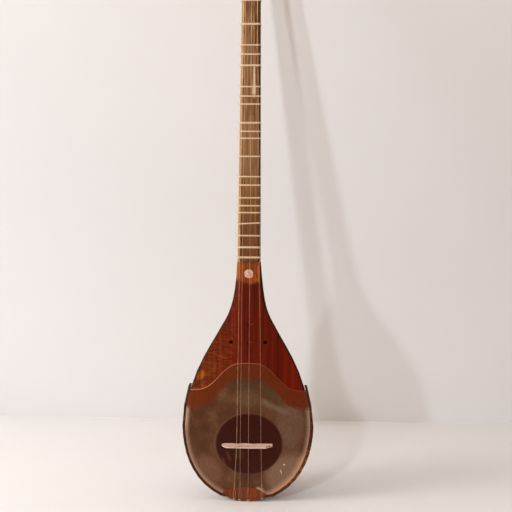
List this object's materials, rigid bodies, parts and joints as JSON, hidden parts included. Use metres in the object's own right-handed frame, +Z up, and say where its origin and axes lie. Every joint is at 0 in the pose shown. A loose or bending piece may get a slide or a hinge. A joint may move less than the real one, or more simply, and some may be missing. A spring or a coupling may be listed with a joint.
{
  "type": "setar",
  "caption": "Long-necked lute with a pear-shaped bowl of staves, a skin over the lower face, gut frets tied round the neck, turned pegs and a movable bridge.",
  "frame": {"origin": "middle of the flat underside of the string holder, on which the instrument stands", "axes": "+Z up the neck towards the head, +X to the right seen from the front, -Y out of the face"},
  "size_m": [0.166, 0.1508, 0.8269],
  "materials": {
    "red_wood": "red-brown varnished walnut or mulberry, semi-gloss",
    "neck_wood": "oiled walnut, satin",
    "fingerboard_wood": "oiled, with dark lines along the grain",
    "inner_wood": "bare, sawn",
    "edge_wood": "dark strip let in round the face, varnished",
    "pale_wood": "bare boxwood, satin",
    "plate_wood": "varnished, semi-gloss",
    "peg_wood": "turned and polished",
    "skin": "thin translucent parchment, satin",
    "dark_band": "dark leather strip, satin",
    "bone": "polished camel bone",
    "pearl": "polished shell",
    "steel": "drawn music wire",
    "bronze": "drawn wire",
    "gut": "twisted gut, satin"
  },
  "bodies": {
    "body": {"neck": "neck_wood", "fingerboard": "fingerboard_wood", "heel_block": "inner_wood", "tail_block": "inner_wood", "rib_1": "red_wood", "rib_2": "red_wood", "rib_3": "red_wood", "rib_4": "red_wood", "rib_5": "red_wood", "rib_6": "red_wood", "rib_7": "red_wood", "rib_8": "red_wood", "rib_9": "red_wood", "edge_binding": "edge_wood", "soundboard": "red_wood", "skin": "skin", "rim_band": "dark_band", "tail_plate": "plate_wood", "string_holder": "plate_wood", "nut": "bone", "inlay_disc": "pearl", "string_1": "bronze", "string_2": "steel", "string_3": "steel", "string_4": "steel"},
    "bridge": {"bridge": "pale_wood"},
    "peg_1": {"peg_1": "peg_wood", "winding_1": "bronze"},
    "peg_2": {"peg_2": "peg_wood", "winding_2": "steel"},
    "peg_3": {"peg_3": "peg_wood", "winding_3": "steel"},
    "peg_4": {"peg_4": "peg_wood", "winding_4": "steel"},
    "fret_01": {"fret_01": "gut"},
    "fret_02": {"fret_02": "gut"},
    "fret_03": {"fret_03": "gut"},
    "fret_04": {"fret_04": "gut"},
    "fret_05": {"fret_05": "gut"},
    "fret_06": {"fret_06": "gut"},
    "fret_07": {"fret_07": "gut"},
    "fret_08": {"fret_08": "gut"},
    "fret_09": {"fret_09": "gut"},
    "fret_10": {"fret_10": "gut"},
    "fret_11": {"fret_11": "gut"},
    "fret_12": {"fret_12": "gut"},
    "fret_13": {"fret_13": "gut"},
    "fret_14": {"fret_14": "gut"},
    "fret_15": {"fret_15": "gut"},
    "fret_16": {"fret_16": "gut"},
    "fret_17": {"fret_17": "gut"},
    "fret_18": {"fret_18": "gut"},
    "fret_19": {"fret_19": "gut"},
    "fret_20": {"fret_20": "gut"},
    "fret_21": {"fret_21": "gut"},
    "fret_22": {"fret_22": "gut"},
    "fret_23": {"fret_23": "gut"}
  },
  "joints": [
    {"name": "bridge_shift", "type": "slide", "parent": "body", "child": "bridge", "axis": [0, 0, 1], "range_m": [-0.0015, 0.0015]},
    {"name": "peg_1_turn", "type": "hinge", "parent": "body", "child": "peg_1", "pos_m": [-0.01107, 0.0021, 0.75382], "axis": [-1, 0, 0], "continuous": true},
    {"name": "peg_2_turn", "type": "hinge", "parent": "body", "child": "peg_2", "pos_m": [-0.01062, 0.0021, 0.80254], "axis": [-1, 0, 0], "continuous": true},
    {"name": "peg_3_turn", "type": "hinge", "parent": "body", "child": "peg_3", "pos_m": [-0.0026, -0.0049, 0.7341], "axis": [0, -1, 0], "continuous": true},
    {"name": "peg_4_turn", "type": "hinge", "parent": "body", "child": "peg_4", "pos_m": [0.0024, -0.0049, 0.7805], "axis": [0, -1, 0], "continuous": true},
    {"name": "fret_01_shift", "type": "slide", "parent": "body", "child": "fret_01", "axis": [0, 0, 1], "range_m": [-0.0025, 0.0025]},
    {"name": "fret_02_shift", "type": "slide", "parent": "body", "child": "fret_02", "axis": [0, 0, 1], "range_m": [-0.0025, 0.0025]},
    {"name": "fret_03_shift", "type": "slide", "parent": "body", "child": "fret_03", "axis": [0, 0, 1], "range_m": [-0.0025, 0.0025]},
    {"name": "fret_04_shift", "type": "slide", "parent": "body", "child": "fret_04", "axis": [0, 0, 1], "range_m": [-0.0025, 0.0025]},
    {"name": "fret_05_shift", "type": "slide", "parent": "body", "child": "fret_05", "axis": [0, 0, 1], "range_m": [-0.0025, 0.0025]},
    {"name": "fret_06_shift", "type": "slide", "parent": "body", "child": "fret_06", "axis": [0, 0, 1], "range_m": [-0.0025, 0.0025]},
    {"name": "fret_07_shift", "type": "slide", "parent": "body", "child": "fret_07", "axis": [0, 0, 1], "range_m": [-0.0025, 0.0025]},
    {"name": "fret_08_shift", "type": "slide", "parent": "body", "child": "fret_08", "axis": [0, 0, 1], "range_m": [-0.0025, 0.0025]},
    {"name": "fret_09_shift", "type": "slide", "parent": "body", "child": "fret_09", "axis": [0, 0, 1], "range_m": [-0.0025, 0.0025]},
    {"name": "fret_10_shift", "type": "slide", "parent": "body", "child": "fret_10", "axis": [0, 0, 1], "range_m": [-0.0025, 0.0025]},
    {"name": "fret_11_shift", "type": "slide", "parent": "body", "child": "fret_11", "axis": [0, 0, 1], "range_m": [-0.0025, 0.0025]},
    {"name": "fret_12_shift", "type": "slide", "parent": "body", "child": "fret_12", "axis": [0, 0, 1], "range_m": [-0.0025, 0.0025]},
    {"name": "fret_13_shift", "type": "slide", "parent": "body", "child": "fret_13", "axis": [0, 0, 1], "range_m": [-0.0025, 0.0025]},
    {"name": "fret_14_shift", "type": "slide", "parent": "body", "child": "fret_14", "axis": [0, 0, 1], "range_m": [-0.0025, 0.0025]},
    {"name": "fret_15_shift", "type": "slide", "parent": "body", "child": "fret_15", "axis": [0, 0, 1], "range_m": [-0.0025, 0.0025]},
    {"name": "fret_16_shift", "type": "slide", "parent": "body", "child": "fret_16", "axis": [0, 0, 1], "range_m": [-0.0025, 0.0025]},
    {"name": "fret_17_shift", "type": "slide", "parent": "body", "child": "fret_17", "axis": [0, 0, 1], "range_m": [-0.0025, 0.0025]},
    {"name": "fret_18_shift", "type": "slide", "parent": "body", "child": "fret_18", "axis": [0, 0, 1], "range_m": [-0.0025, 0.0025]},
    {"name": "fret_19_shift", "type": "slide", "parent": "body", "child": "fret_19", "axis": [0, 0, 1], "range_m": [-0.0025, 0.0025]},
    {"name": "fret_20_shift", "type": "slide", "parent": "body", "child": "fret_20", "axis": [0, 0, 1], "range_m": [-0.0025, 0.0025]},
    {"name": "fret_21_shift", "type": "slide", "parent": "body", "child": "fret_21", "axis": [0, 0, 1], "range_m": [-0.0025, 0.0025]},
    {"name": "fret_22_shift", "type": "slide", "parent": "body", "child": "fret_22", "axis": [0, 0, 1], "range_m": [-0.0025, 0.0025]},
    {"name": "fret_23_shift", "type": "slide", "parent": "body", "child": "fret_23", "axis": [0, 0, 1], "range_m": [-0.0025, 0.0025]}
  ]
}
